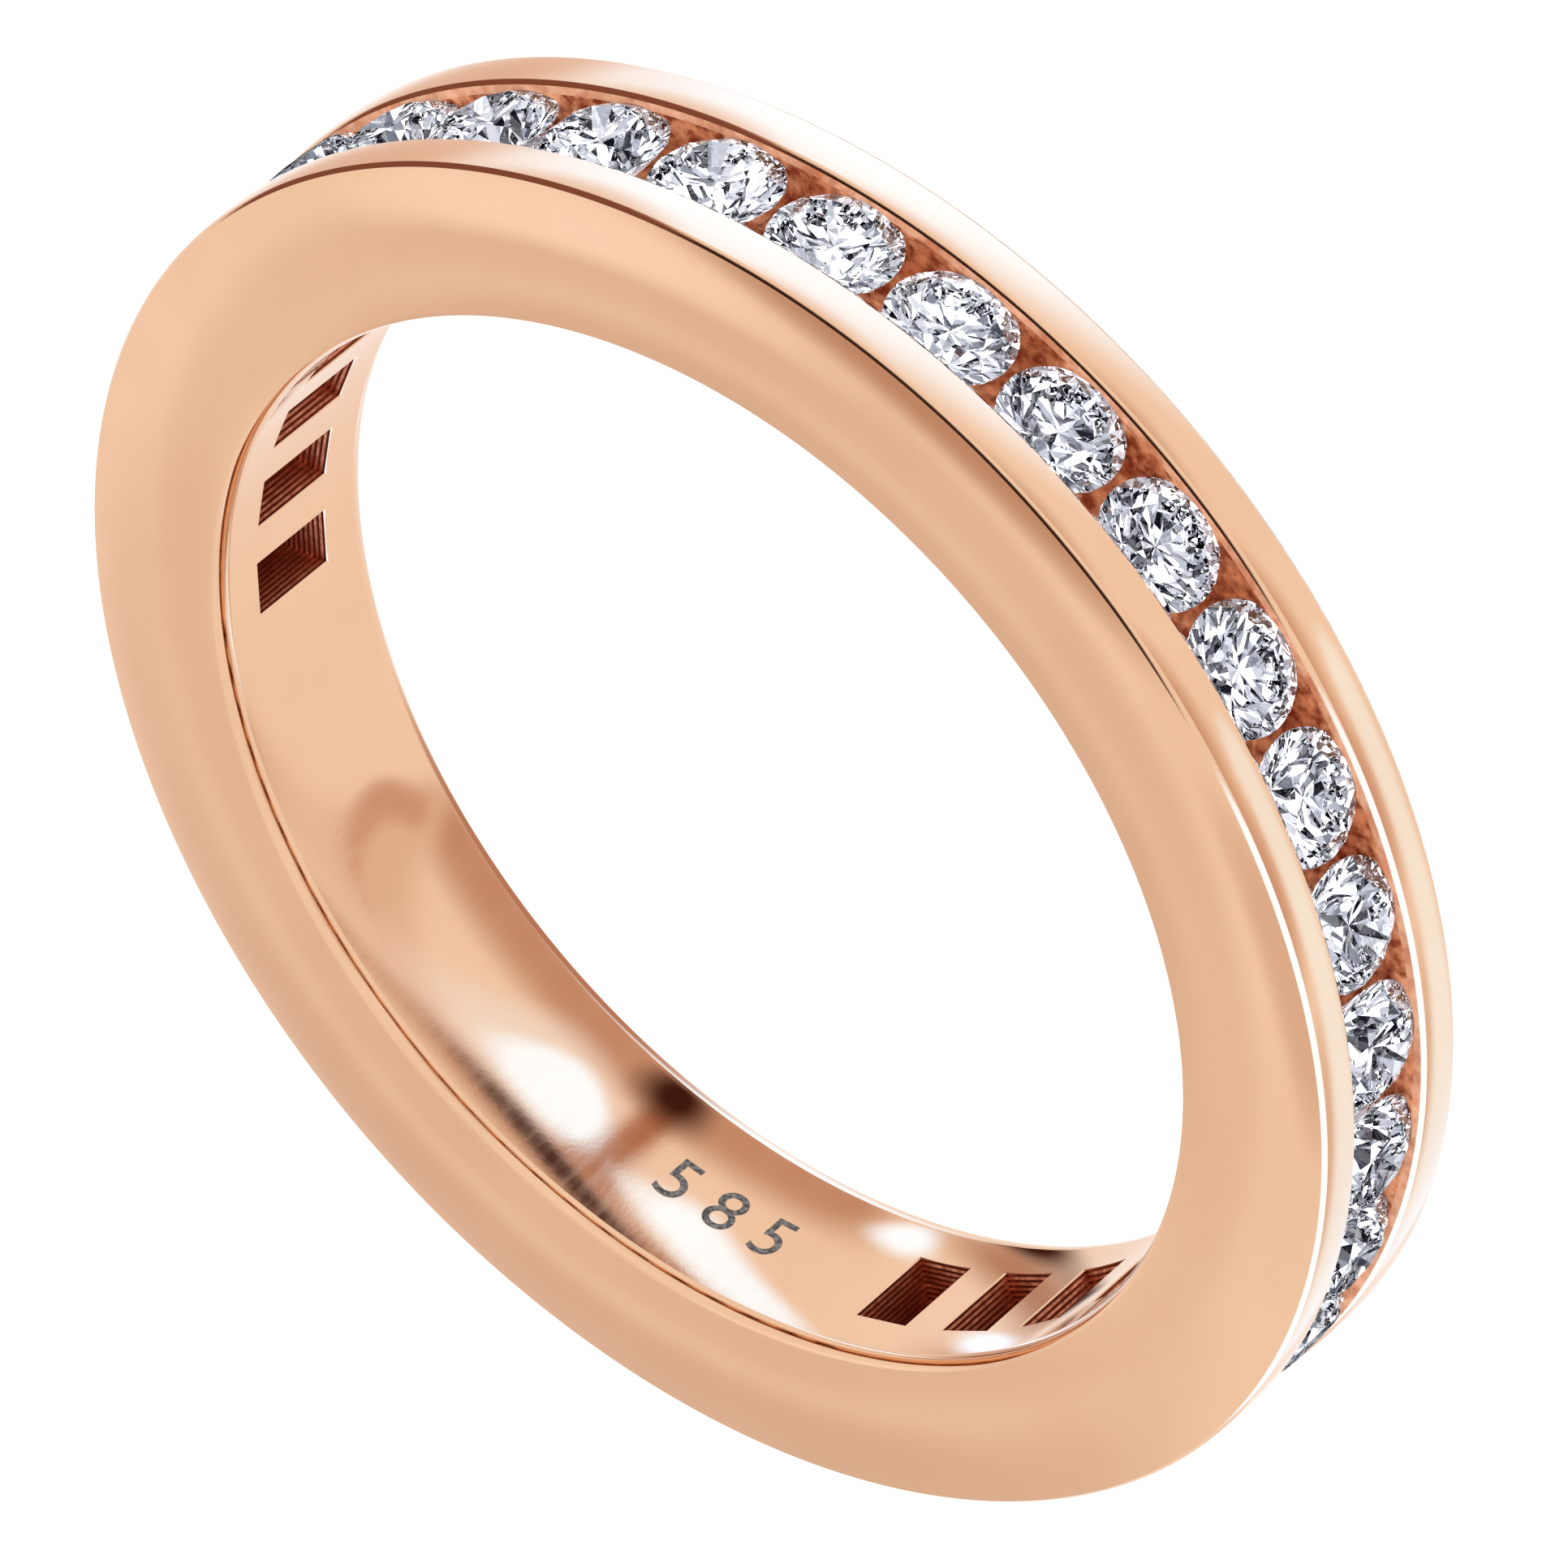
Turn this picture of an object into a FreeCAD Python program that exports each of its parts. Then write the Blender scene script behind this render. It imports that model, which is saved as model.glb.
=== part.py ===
"""Channel-set diamond wedding band, in millimetres.

Frame: the origin is the centre of the finger bore, +Z runs along the bore's axis and -Y is the
middle of the row of stones. The ring lies flat on one side, so +Z is up.
"""

import FreeCAD, Part
import math
import os

from FreeCAD import Vector

# ---- Driving dimensions ----
BORE_RADIUS = 8.5  # finger hole, ring size US 6.5 (17.0 mm across)
BORE_LAND = 1.20  # half length of the straight part of the bore
RIM_RADIUS = 8.66  # ridge where the rounded mouth of the bore meets the side face
RIM_HALF_WIDTH = 1.62
SIDE_CROWN = 0.10  # how far the side faces bulge between the ridge and the rail
RAIL_RADIUS = 10.94  # outside of the two rails and of the plain shank
RAIL_HALF_WIDTH = 1.50  # mid-plane to the side of the ring below the rail's bevel
RAIL_BEVEL = 0.07  # thin polished bevel on every rail edge

CHANNEL_HALF_WIDTH = 0.76  # between the rails, below their bevels
CHANNEL_FLOOR_RADIUS = 9.90

STONE_COUNT = 24
STONE_PITCH = 11.04  # degrees from one stone to the next
STONE_DIAMETER = 1.93
GIRDLE_RADIUS = 10.58  # distance from the ring's axis to a stone's girdle
SEAT_CLEARANCE = 0.01  # between a stone and its seat

# ---- Proportions of a round brilliant, as shares of its diameter ----
TABLE_SHARE = 0.56
GIRDLE_SHARE = 0.025
CROWN_ANGLE = 34.5
PAVILION_ANGLE = 40.8
STAR_LENGTH = 0.50  # of the way from the table's edge to the girdle
LOWER_HALF_LENGTH = 0.78  # of the way from the girdle to the culet

# ---- Openings in the bore, one behind each stone ----
WINDOW_HALF_LENGTH = 0.74  # along the bore's axis
WINDOW_HALF_WIDTH = 0.463  # round the bore
WINDOW_TOP_RADIUS = 9.70  # where the funnel ends
WINDOW_TOP_SCALE = 0.64  # size there, as a share of the size at the bore
LIGHT_HOLE_RADIUS = 0.28  # from the funnel's end to the channel's floor

FIRST_STONE_ANGLE = 270.0 - STONE_PITCH * (STONE_COUNT - 1) / 2
OVERRUN = 0.3  # how far cutters reach past the metal they cut
Z_AXIS = Vector(0, 0, 1)
CENTRE = Vector(0, 0, 0)


def outline(points):
    """A closed wire. A point may be a pair (through, end), which is an arc to its second point."""
    edges = []
    here = points[0]
    for step in points[1:] + [points[0]]:
        if isinstance(step, tuple):
            through, end = step
            edges.append(Part.Arc(here, through, end).toShape())
        else:
            end = step
            edges.append(Part.LineSegment(here, end).toShape())
        here = end
    return Part.Wire(edges)


def turned(points, angle=360):
    """The solid made by turning an outline in the XZ plane about the Z axis."""
    return Part.Face(outline(points)).revolve(CENTRE, Z_AXIS, angle)


def stone_angle(index):
    return FIRST_STONE_ANGLE + STONE_PITCH * index


def stand_out(shape, index):
    """Moves a shape built along +Z, with its girdle at the origin, to its stone's place."""
    placed = shape.copy()
    placed.rotate(CENTRE, Vector(0, 1, 0), 90)
    placed.translate(Vector(GIRDLE_RADIUS, 0, 0))
    placed.rotate(CENTRE, Z_AXIS, stone_angle(index))
    return placed


# ---- The stones ----
class Brilliant:
    """Radii and heights of a stone's corners. Heights are above the middle of the girdle."""

    half_step = math.cos(math.radians(22.5))  # facets repeat every 45 degrees
    radius = STONE_DIAMETER / 2
    half_girdle = GIRDLE_SHARE * radius
    table = radius * TABLE_SHARE
    crown_slope = math.tan(math.radians(CROWN_ANGLE))
    table_height = half_girdle + (radius - table) * crown_slope
    star = table * half_step + STAR_LENGTH * (radius - table * half_step)
    star_height = table_height - (star * half_step - table) * crown_slope
    pavilion_slope = math.tan(math.radians(PAVILION_ANGLE))
    culet_height = -half_girdle - radius * pavilion_slope
    lower = radius * (1 - LOWER_HALF_LENGTH)
    lower_height = culet_height + lower * half_step * pavilion_slope


def at(radius, azimuth, height):
    """A point in a stone's own frame, its azimuth in degrees."""
    turn = math.radians(azimuth)
    return Vector(radius * math.cos(turn), radius * math.sin(turn), height)


def facet_block(first, second, third, size=4.0):
    """A block whose face lies in the plane of three points and whose body is outside the stone."""
    normal = (second - first).cross(third - first)
    normal.normalize()
    if normal.dot(first) < 0:
        normal = normal * -1
    turn = FreeCAD.Rotation(Z_AXIS, normal)
    block = Part.makeBox(size, size, size, Vector(-size / 2, -size / 2, 0))
    block.Placement = FreeCAD.Placement(first, turn)
    return block


def crown_blocks():
    """Blocks that cut eight bezel, eight star and sixteen upper girdle facets."""
    cut = Brilliant
    blocks = []
    for azimuth in range(0, 360, 45):
        corner = at(cut.table, azimuth, cut.table_height)
        next_corner = at(cut.table, azimuth + 45, cut.table_height)
        tip = at(cut.star, azimuth + 22.5, cut.star_height)
        last_tip = at(cut.star, azimuth - 22.5, cut.star_height)
        girdle = at(cut.radius, azimuth, cut.half_girdle)
        middle = at(cut.radius, azimuth + 22.5, cut.half_girdle)
        next_girdle = at(cut.radius, azimuth + 45, cut.half_girdle)
        blocks.append(facet_block(corner, tip, last_tip))
        blocks.append(facet_block(corner, next_corner, tip))
        blocks.append(facet_block(tip, girdle, middle))
        blocks.append(facet_block(tip, middle, next_girdle))
    return blocks


def pavilion_blocks():
    """Blocks that cut eight main and sixteen lower girdle facets."""
    cut = Brilliant
    culet = at(0, 0, cut.culet_height)
    blocks = []
    for azimuth in range(0, 360, 45):
        tip = at(cut.lower, azimuth + 22.5, cut.lower_height)
        last_tip = at(cut.lower, azimuth - 22.5, cut.lower_height)
        girdle = at(cut.radius, azimuth, -cut.half_girdle)
        middle = at(cut.radius, azimuth + 22.5, -cut.half_girdle)
        next_girdle = at(cut.radius, azimuth + 45, -cut.half_girdle)
        blocks.append(facet_block(culet, tip, last_tip))
        blocks.append(facet_block(tip, girdle, middle))
        blocks.append(facet_block(tip, middle, next_girdle))
    return blocks


def brilliant():
    """A round brilliant with its table up: 33 crown facets, 24 pavilion facets, a round girdle."""
    cut = Brilliant
    foot = Vector(0, 0, cut.culet_height)
    stone = Part.makeCylinder(cut.radius, cut.table_height - cut.culet_height, foot)
    for block in crown_blocks() + pavilion_blocks():
        stone = stone.cut(block)
    return stone.Solids[0]


# ---- The band ----
def band_blank():
    """The turned ring before the channel and the windows are cut."""
    middle_radius = (RIM_RADIUS + RAIL_RADIUS - RAIL_BEVEL) / 2
    middle_width = (RIM_HALF_WIDTH + RAIL_HALF_WIDTH) / 2 + SIDE_CROWN
    mouth_radius = BORE_RADIUS + 0.3 * (RIM_RADIUS - BORE_RADIUS)
    mouth_width = BORE_LAND + 0.6 * (RIM_HALF_WIDTH - BORE_LAND)

    def half(side):
        return [
            Vector(BORE_RADIUS, 0, side * BORE_LAND),
            Vector(mouth_radius, 0, side * mouth_width),
            Vector(RIM_RADIUS, 0, side * RIM_HALF_WIDTH),
            Vector(middle_radius, 0, side * middle_width),
            Vector(RAIL_RADIUS - RAIL_BEVEL, 0, side * RAIL_HALF_WIDTH),
            Vector(RAIL_RADIUS, 0, side * (RAIL_HALF_WIDTH - RAIL_BEVEL)),
        ]

    upper, lower = half(1), half(-1)
    return turned(
        [
            upper[0],
            (upper[1], upper[2]),
            (upper[3], upper[4]),
            upper[5],
            lower[5],
            lower[4],
            (lower[3], lower[2]),
            (lower[1], lower[0]),
        ]
    )


def channel_cutter():
    """The groove between the rails, with a half-round end beyond the first and the last stone."""
    top = RAIL_RADIUS + OVERRUN
    wide = CHANNEL_HALF_WIDTH + RAIL_BEVEL + OVERRUN
    bevel_foot = RAIL_RADIUS - RAIL_BEVEL
    groove = turned(
        [
            Vector(CHANNEL_FLOOR_RADIUS, 0, -CHANNEL_HALF_WIDTH),
            Vector(bevel_foot, 0, -CHANNEL_HALF_WIDTH),
            Vector(top, 0, -wide),
            Vector(top, 0, wide),
            Vector(bevel_foot, 0, CHANNEL_HALF_WIDTH),
            Vector(CHANNEL_FLOOR_RADIUS, 0, CHANNEL_HALF_WIDTH),
        ],
        STONE_PITCH * (STONE_COUNT - 1),
    )
    groove.rotate(CENTRE, Z_AXIS, stone_angle(0))
    foot = CHANNEL_FLOOR_RADIUS - GIRDLE_RADIUS
    end = turned(
        [
            Vector(0, 0, foot),
            Vector(CHANNEL_HALF_WIDTH, 0, foot),
            Vector(CHANNEL_HALF_WIDTH, 0, bevel_foot - GIRDLE_RADIUS),
            Vector(wide, 0, top - GIRDLE_RADIUS),
            Vector(0, 0, top - GIRDLE_RADIUS),
        ]
    )
    return groove.fuse([stand_out(end, 0), stand_out(end, STONE_COUNT - 1)])


def seat_cutter():
    """The burred seat that holds a stone's girdle under both rails, just clear of every facet."""
    cut, gap = Brilliant, SEAT_CLEARANCE
    return turned(
        [
            Vector(0, 0, cut.culet_height - gap),
            Vector(cut.lower + gap, 0, cut.lower_height - gap),
            Vector(cut.radius + gap, 0, -cut.half_girdle - gap),
            Vector(cut.radius + gap, 0, cut.half_girdle + gap),
            Vector(cut.star + gap, 0, cut.star_height + gap),
            Vector(cut.table + gap, 0, cut.table_height + gap),
            Vector(0, 0, cut.table_height + gap),
        ]
    )


def window_cutter():
    """The rectangular funnel behind a stone, opening into the bore, and the hole at its end."""

    def section(radius, scale):
        width, length = WINDOW_HALF_WIDTH * scale, WINDOW_HALF_LENGTH * scale
        height = radius - GIRDLE_RADIUS
        corners = [
            Vector(-length, -width, height),
            Vector(length, -width, height),
            Vector(length, width, height),
            Vector(-length, width, height),
        ]
        return Part.makePolygon(corners + [corners[0]])

    taper = (1 - WINDOW_TOP_SCALE) / (WINDOW_TOP_RADIUS - BORE_RADIUS)
    mouth = BORE_RADIUS - OVERRUN
    funnel = Part.makeLoft(
        [section(mouth, 1 + taper * OVERRUN), section(WINDOW_TOP_RADIUS, WINDOW_TOP_SCALE)],
        True,
        True,
    )
    foot = Vector(0, 0, WINDOW_TOP_RADIUS - OVERRUN - GIRDLE_RADIUS)
    reach = CHANNEL_FLOOR_RADIUS + OVERRUN / 2 - (WINDOW_TOP_RADIUS - OVERRUN)
    return funnel.fuse(Part.makeCylinder(LIGHT_HOLE_RADIUS, reach, foot))


def band():
    """The gold casting: two rails over a channel, open windows to the bore, and a plain shank."""
    station = seat_cutter().fuse(window_cutter())
    cutters = [stand_out(station, index) for index in range(STONE_COUNT)]
    return band_blank().cut(channel_cutter()).cut(cutters).Solids[0]


def write(name, shape):
    assert shape.isValid(), name + " isn't a valid solid"
    shape.exportStep("parts/" + name + ".step")


os.makedirs("parts", exist_ok=True)
write("band", band())
stone = brilliant()
for number in range(STONE_COUNT):
    write("diamond_%02d" % (number + 1), stand_out(stone, number))
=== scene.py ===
"""Looks for the channel-set wedding band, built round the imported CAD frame.

The meshes are shaped in millimetres in the frame's own axes and scaled to metres at the end.
The ring lies flat on its side: +Z is its axis, and -Y is the middle of the row of stones.
"""

import math

import bpy
import numpy as np
from mathutils import Matrix, Vector, noise


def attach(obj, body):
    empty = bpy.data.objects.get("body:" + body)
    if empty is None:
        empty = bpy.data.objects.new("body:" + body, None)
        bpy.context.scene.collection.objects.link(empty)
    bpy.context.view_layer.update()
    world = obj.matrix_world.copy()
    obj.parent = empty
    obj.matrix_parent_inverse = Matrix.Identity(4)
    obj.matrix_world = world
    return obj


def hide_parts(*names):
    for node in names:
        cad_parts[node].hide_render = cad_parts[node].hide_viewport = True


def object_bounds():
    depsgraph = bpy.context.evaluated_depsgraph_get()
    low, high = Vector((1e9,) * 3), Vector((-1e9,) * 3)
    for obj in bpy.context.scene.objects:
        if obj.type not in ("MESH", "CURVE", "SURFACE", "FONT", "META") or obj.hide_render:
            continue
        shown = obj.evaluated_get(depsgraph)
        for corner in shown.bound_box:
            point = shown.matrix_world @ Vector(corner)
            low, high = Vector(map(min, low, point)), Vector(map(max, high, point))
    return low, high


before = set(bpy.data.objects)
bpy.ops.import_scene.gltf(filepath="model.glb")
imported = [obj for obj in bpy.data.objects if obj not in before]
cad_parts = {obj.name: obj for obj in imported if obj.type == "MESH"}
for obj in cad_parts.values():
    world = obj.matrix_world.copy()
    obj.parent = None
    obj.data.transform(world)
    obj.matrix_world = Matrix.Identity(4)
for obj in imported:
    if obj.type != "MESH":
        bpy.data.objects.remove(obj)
cad_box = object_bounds()

METRES = 0.001  # one millimetre

# ---- The band's section, within 0.05 of the CAD band's, in millimetres ----
BORE_RADIUS = 8.5
MOUTH_START = 1.36  # the bore begins to open at this height
MOUTH_END = (8.577, 1.597)  # radius and height where it meets a narrow chamfer
MOUTH_FULLNESS = 0.29  # how much of its opening the mouth has made halfway up
RIM_RADIUS = 8.63  # where the chamfer meets the side
RIM_HALF_WIDTH = 1.607
SIDE_CROWN = 0.10
RAIL_RADIUS = 10.94
RAIL_HALF_WIDTH = 1.50
RAIL_BEVEL = 0.07
EDGE_ROUNDING = 0.003  # how far a bevel bulges past its chord

# ---- How finely the band is meshed ----
FACES_ROUND = 480
LAND_STEPS = 6
MOUTH_STEPS = 10
SIDE_STEPS = 12
BEVEL_STEPS = 5
OUTSIDE_STEPS = 44
WALL_STEPS = 11
FLOOR_STEPS = 12
GROOVE_STEP = 0.4  # degrees from one section of the groove to the next

# ---- The channel ----
CHANNEL_HALF_WIDTH = 0.76
CHANNEL_FLOOR_RADIUS = 9.90
BRIGHT_CUT_DEPTH = 0.13  # smooth strip at the top of each channel wall
ROUGH_DEPTH = 0.030  # how far the cast texture below it stands in and out
ROUGH_EASE = 0.15  # the texture grows to its full depth over this much of the wall
ROUGH_GAP = 0.01  # and stays this far from the smooth strip
ROUGH_GRAIN = 3.2  # its coarse bumps to the millimetre
ROUGH_PITS = 9.0  # its pits to the millimetre
GROOVE_REACH = 0.3  # how far its cutter stands out of the rails
RAIL_EASE_WIDTH = 0.30  # the polished rail falls away this close to its two edges
RAIL_EASE_DROP = 0.018  # by this much

# ---- The stones ----
STONE_COUNT = 24
STONE_PITCH = 11.04  # degrees from one stone to the next
FIRST_STONE_ANGLE = 270.0 - STONE_PITCH * (STONE_COUNT - 1) / 2
LAST_STONE_ANGLE = 270.0 + STONE_PITCH * (STONE_COUNT - 1) / 2
GIRDLE_RADIUS = 10.58
STONE_RADIUS = 0.965
SEAT_CLEARANCE = 0.01
HALF_GIRDLE = 0.0121
TABLE_RADIUS = 0.56 * STONE_RADIUS
LOWER_HALF_END = 0.22 * STONE_RADIUS  # the pavilion's lower halves end this far from the axis
CROWN_SLOPE = math.tan(math.radians(34.5))
PAVILION_SLOPE = math.tan(math.radians(40.8))

# ---- The windows in the bore ----
WINDOW_HALF_LENGTH = 0.74
WINDOW_HALF_WIDTH = 0.463
WINDOW_TOP_RADIUS = 9.70
WINDOW_TOP_SCALE = 0.64
WINDOW_RIM = 0.007  # tiny bevel round each window's mouth
LAYER_COUNT = 15  # casting layers seen on the window walls
LAYER_STEP = 0.016  # how far each layer's crest stands back, as a part of the window's size
LAYER_CREST = 0.55  # where the crest is, as a part of the layer
WINDOW_REACH = 0.2  # how far the window's cutter stands into the bore
LIGHT_HOLE_RADIUS = 0.28

# ---- The fineness number in the bore ----
MARK_TEXT = "585"
MARK_TURN = 112.0  # degrees round the bore where it starts
MARK_BASELINE = 0.36
MARK_SIZE = 1.15
MARK_SPACING = 1.5
MARK_THICKNESS = 0.004

# ---- Surfaces, numbered in the order of their temporary material slots ----
(LAND, MOUTH_UP, SIDE_UP, EDGE_UP, OUTSIDE, EDGE_DOWN, SIDE_DOWN, MOUTH_DOWN, LIP, BRIGHT_CUT,
 END_CUT, CAST, SEAT, WINDOW, CHAMFER_UP, CHAMFER_DOWN, WINDOW_EDGE) = range(17)

# ---- Camera, in degrees and metres ----
CAMERA_AZIMUTH = -0.46  # 0 looks along +Y
CAMERA_ELEVATION = 35.99
CAMERA_ROLL = -130.13
CAMERA_DISTANCE = 0.24152
CAMERA_AIM = (-0.000149, -0.000159, -0.000221)
CAMERA_LENS = 397.75  # millimetres
SENSOR_WIDTH = 36.0

# ---- The studio's size, in metres ----
DOME_RADIUS = 0.5
FLOOR_HALF = 20.0
BACKDROP_HALF = 8.0

# ---- The card inside the ring, in millimetres ----
CARD_RADIUS = 8.4
CARD_SIDES = 96
CARD_HEIGHT = -1.66  # just over the floor


# ---- Mesh helpers ----
def mesh_object(name, points, faces, surfaces):
    """A mesh object in millimetres whose faces carry their surface number."""
    mesh = bpy.data.meshes.new(name)
    mesh.from_pydata([tuple(p) for p in points], [], faces)
    for index in range(WINDOW_EDGE + 1):
        mesh.materials.append(placeholder(index))
    mesh.polygons.foreach_set("material_index", surfaces)
    mesh.update()
    return add_object(name, mesh)


def add_object(name, data):
    made = bpy.data.objects.new(name, data)
    bpy.context.scene.collection.objects.link(made)
    return made


def placeholder(index):
    name = "surface_%02d" % index
    return bpy.data.materials.get(name) or bpy.data.materials.new(name)


def cut_away(body, cutter):
    """Body minus cutter. The cutter is deleted."""
    modifier = body.modifiers.new("cut", "BOOLEAN")
    modifier.operation = "DIFFERENCE"
    modifier.solver = "MANIFOLD"
    modifier.object = cutter
    modifier.material_mode = "INDEX"
    graph = bpy.context.evaluated_depsgraph_get()
    mesh = bpy.data.meshes.new_from_object(body.evaluated_get(graph), depsgraph=graph)
    body.modifiers.clear()
    body.data = mesh
    bpy.data.objects.remove(cutter)


def polar(radius, angle, height):
    return (radius * math.cos(angle), radius * math.sin(angle), height)


def vertex_array(mesh):
    points = np.empty(len(mesh.vertices) * 3)
    mesh.vertices.foreach_get("co", points)
    return points.reshape(-1, 3)


def face_surfaces(mesh):
    """The surface number of each face."""
    surface = np.empty(len(mesh.polygons), int)
    mesh.polygons.foreach_get("material_index", surface)
    return surface


def corner_surfaces(mesh):
    """The surface number at each face's corners."""
    sizes = np.empty(len(mesh.polygons), int)
    mesh.polygons.foreach_get("loop_total", sizes)
    return np.repeat(face_surfaces(mesh), sizes)


# ---- The section ----
class Span:
    """A smooth stretch of a section, straight or an arc, with its outward normals."""

    def __init__(self, surface, start, end, through=None, count=1):
        self.surface = surface
        self.centre = None
        start, end = np.array(start, float), np.array(end, float)
        if through is None:
            steps = np.linspace(0, 1, count + 1)[:, None]
            self.points = start + (end - start) * steps
            along = (end - start) / np.linalg.norm(end - start)
            self.straight_normal = np.array([-along[1], along[0]])
            return
        middle = np.array(through, float)
        self.centre = circle_centre(start, middle, end)
        radius = np.linalg.norm(start - self.centre)
        first, last = (math.atan2(*(p - self.centre)[::-1]) for p in (start, end))
        turn = (last - first + math.pi) % (2 * math.pi) - math.pi
        turns = first + turn * np.linspace(0, 1, count + 1)
        self.points = self.centre + radius * np.stack([np.cos(turns), np.sin(turns)], 1)
        self.side = -1.0 if turn > 0 else 1.0

    def normals(self, radius_height):
        if self.centre is None:
            return np.tile(self.straight_normal, (len(radius_height), 1))
        away = (radius_height - self.centre) * self.side
        return away / np.linalg.norm(away, axis=1)[:, None]


def circle_centre(a, b, c):
    rows = np.array([b - a, c - a]) * 2
    return np.linalg.solve(rows, [b @ b - a @ a, c @ c - a @ a])


def bevel_middle(start, end):
    """The middle of a rounded bevel, on the side away from the metal."""
    start, end = np.array(start), np.array(end)
    along = (end - start) / np.linalg.norm(end - start)
    return (start + end) / 2 + EDGE_ROUNDING * np.array([-along[1], along[0]])


def section_spans():
    """The closed section, in (radius, height), with the metal on the right of the way along it."""
    middle_radius = (RIM_RADIUS + RAIL_RADIUS - RAIL_BEVEL) / 2
    middle_width = (RIM_HALF_WIDTH + RAIL_HALF_WIDTH) / 2 + SIDE_CROWN
    mouth_radius = BORE_RADIUS + MOUTH_FULLNESS * (MOUTH_END[0] - BORE_RADIUS)
    mouth_width = MOUTH_START + 0.5 * (MOUTH_END[1] - MOUTH_START)
    shoulder = RAIL_RADIUS - RAIL_BEVEL
    edge = RAIL_HALF_WIDTH - RAIL_BEVEL
    up_side, up_edge = (shoulder, RAIL_HALF_WIDTH), (RAIL_RADIUS, edge)
    low_side, low_edge = (shoulder, -RAIL_HALF_WIDTH), (RAIL_RADIUS, -edge)
    up_rim, low_rim = (RIM_RADIUS, RIM_HALF_WIDTH), (RIM_RADIUS, -RIM_HALF_WIDTH)
    up_land, low_land = (BORE_RADIUS, MOUTH_START), (BORE_RADIUS, -MOUTH_START)
    up_mouth, low_mouth = MOUTH_END, (MOUTH_END[0], -MOUTH_END[1])
    return [
        Span(LAND, low_land, up_land, count=LAND_STEPS),
        Span(MOUTH_UP, up_land, up_mouth, (mouth_radius, mouth_width), MOUTH_STEPS),
        Span(CHAMFER_UP, up_mouth, up_rim),
        Span(SIDE_UP, up_rim, up_side, (middle_radius, middle_width), SIDE_STEPS),
        Span(EDGE_UP, up_side, up_edge, bevel_middle(up_side, up_edge), BEVEL_STEPS),
        Span(OUTSIDE, up_edge, low_edge, count=OUTSIDE_STEPS),
        Span(EDGE_DOWN, low_edge, low_side, bevel_middle(low_edge, low_side), BEVEL_STEPS),
        Span(SIDE_DOWN, low_side, low_rim, (middle_radius, -middle_width), SIDE_STEPS),
        Span(CHAMFER_DOWN, low_rim, low_mouth),
        Span(MOUTH_DOWN, low_mouth, low_land, (mouth_radius, -mouth_width), MOUTH_STEPS),
    ]


def blank(spans):
    """The turned ring before anything is cut."""
    section, surfaces = [], []
    for span in spans:
        section += [tuple(p) for p in span.points[:-1]]
        surfaces += [span.surface] * (len(span.points) - 1)
    rows = len(section)
    points, faces, numbers = [], [], []
    for turn in range(FACES_ROUND):
        angle = 2 * math.pi * turn / FACES_ROUND
        points += [polar(radius, angle, height) for radius, height in section]
        here, there = turn * rows, (turn + 1) % FACES_ROUND * rows
        for row in range(rows):
            up = (row + 1) % rows
            faces.append((here + row, here + up, there + up, there + row))
            numbers.append(surfaces[row])
    return mesh_object("band_blank", points, faces, numbers)


# ---- Cutters ----
def roughness(point):
    """How far cast metal stands out of its true surface at a point, from -1 to 1."""
    place = Vector(point)
    coarse = noise.fractal(place * ROUGH_GRAIN, 0.9, 2.1, 4, noise_basis="PERLIN_ORIGINAL")
    pits = noise.noise(place * ROUGH_PITS)
    return max(-1.0, min(1.0, 1.3 * coarse + 0.8 * pits))


def channel_side():
    """Half of the groove's section in (half width, radius), from the floor to over the rail."""
    shoulder = RAIL_RADIUS - RAIL_BEVEL
    bright = shoulder - BRIGHT_CUT_DEPTH
    levels = np.linspace(CHANNEL_FLOOR_RADIUS, bright, WALL_STEPS + 1)
    walls = [(CHANNEL_HALF_WIDTH, radius) for radius in levels]
    kinds = [CAST] * WALL_STEPS
    walls += [(CHANNEL_HALF_WIDTH, shoulder)]
    kinds += [BRIGHT_CUT]
    lip = lip_span()
    walls += [(width, radius) for radius, width in lip.points[::-1][1:]]
    kinds += [LIP] * (len(lip.points) - 1)
    walls += [(CHANNEL_HALF_WIDTH + RAIL_BEVEL + GROOVE_REACH, RAIL_RADIUS + GROOVE_REACH)]
    kinds += [LIP]
    return walls, kinds


def lip_span():
    """The rounded bevel between the rail and the upper channel wall, in (radius, height)."""
    outer = (RAIL_RADIUS, CHANNEL_HALF_WIDTH + RAIL_BEVEL)
    inner = (RAIL_RADIUS - RAIL_BEVEL, CHANNEL_HALF_WIDTH)
    return Span(LIP, outer, inner, bevel_middle(outer, inner), BEVEL_STEPS)


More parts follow.
